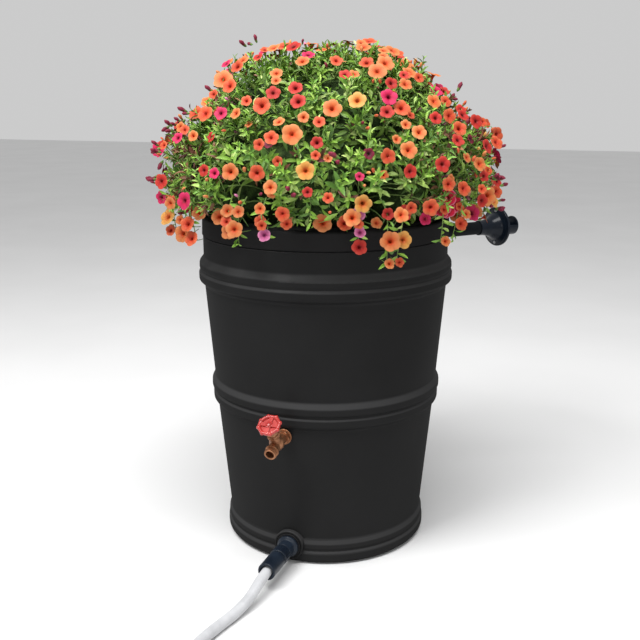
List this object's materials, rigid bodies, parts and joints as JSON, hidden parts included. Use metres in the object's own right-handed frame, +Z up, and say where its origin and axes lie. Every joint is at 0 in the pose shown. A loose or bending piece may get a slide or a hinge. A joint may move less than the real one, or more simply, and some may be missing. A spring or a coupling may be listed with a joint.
{
  "type": "rain barrel",
  "caption": "Tapered round rain barrel with moulded hoops, a planter lid full of trailing flowers, a bronze hose tap, a drain with a leader hose, and a fill hose to a downspout diverter.",
  "frame": {"origin": "centre of the barrel's flat underside, on the ground", "axes": "+Z up; -Y out of the wall through the tap and the drain; the fill hose leaves the neck at 50 degrees from +X towards +Y"},
  "size_m": [0.8146, 1.3578, 1.196],
  "materials": {
    "barrel_plastic": "satin",
    "lid_plastic": "satin",
    "soil": "matte",
    "planting": "matte",
    "seal_rubber": "matte",
    "fill_hose_rubber": "satin",
    "diverter_rubber": "satin",
    "bronze": "satin",
    "wheel_paint": "gloss",
    "screw_steel": "satin",
    "packing": "matte",
    "drain_plastic": "satin",
    "hose_vinyl": "satin",
    "nut_plastic": "satin"
  },
  "bodies": {
    "barrel": {"barrel_shell": "barrel_plastic", "fill_seal": "seal_rubber", "fill_hose": "fill_hose_rubber", "diverter": "diverter_rubber", "diverter_screws": "screw_steel", "tap_gasket": "seal_rubber", "tap_body": "bronze", "tap_inner_washer": "seal_rubber", "tap_lock_nut": "bronze", "bonnet": "bronze", "packing_ring": "packing", "packing_nut": "bronze", "drain_gasket": "seal_rubber", "drain_outlet": "drain_plastic", "drain_inner_washer": "seal_rubber", "drain_lock_nut": "nut_plastic", "hose_washer": "seal_rubber", "hose_tail": "bronze", "hose_sleeve": "drain_plastic", "leader_hose": "hose_vinyl", "leader_hose_coil": "hose_vinyl", "hose_end_fitting": "bronze", "hose_end_sleeve": "drain_plastic"},
    "planter": {"planter_lid": "lid_plastic", "potting_soil": "soil", "flower_mound": "planting"},
    "seat_washer_rise": {"seat_washer": "seal_rubber"},
    "tap_handle": {"valve_stem": "bronze", "washer_screw": "bronze", "handwheel": "wheel_paint", "handwheel_screw": "screw_steel"},
    "hose_nut": {"coupling_nut": "drain_plastic"}
  },
  "joints": [
    {"name": "planter_lift", "type": "slide", "parent": "barrel", "child": "planter", "axis": [0, 0, 1], "range_m": [0, 0.3]},
    {"name": "washer_rise", "type": "slide", "parent": "barrel", "child": "seat_washer_rise", "axis": [0, -0.5878, 0.809], "range_m": [0, 0.0075]},
    {"name": "wheel_turn", "type": "hinge", "parent": "seat_washer_rise", "child": "tap_handle", "pos_m": [0, -0.31477, 0.325], "axis": [0, -0.5878, 0.809], "range_deg": [0, 900]},
    {"name": "nut_turn", "type": "hinge", "parent": "barrel", "child": "hose_nut", "pos_m": [0, -0.306, 0.046], "axis": [0, -1, 0], "continuous": true}
  ],
  "couplings": [
    {"joint": "washer_rise", "follows": "wheel_turn", "m_per_rad": 0.0004774}
  ]
}
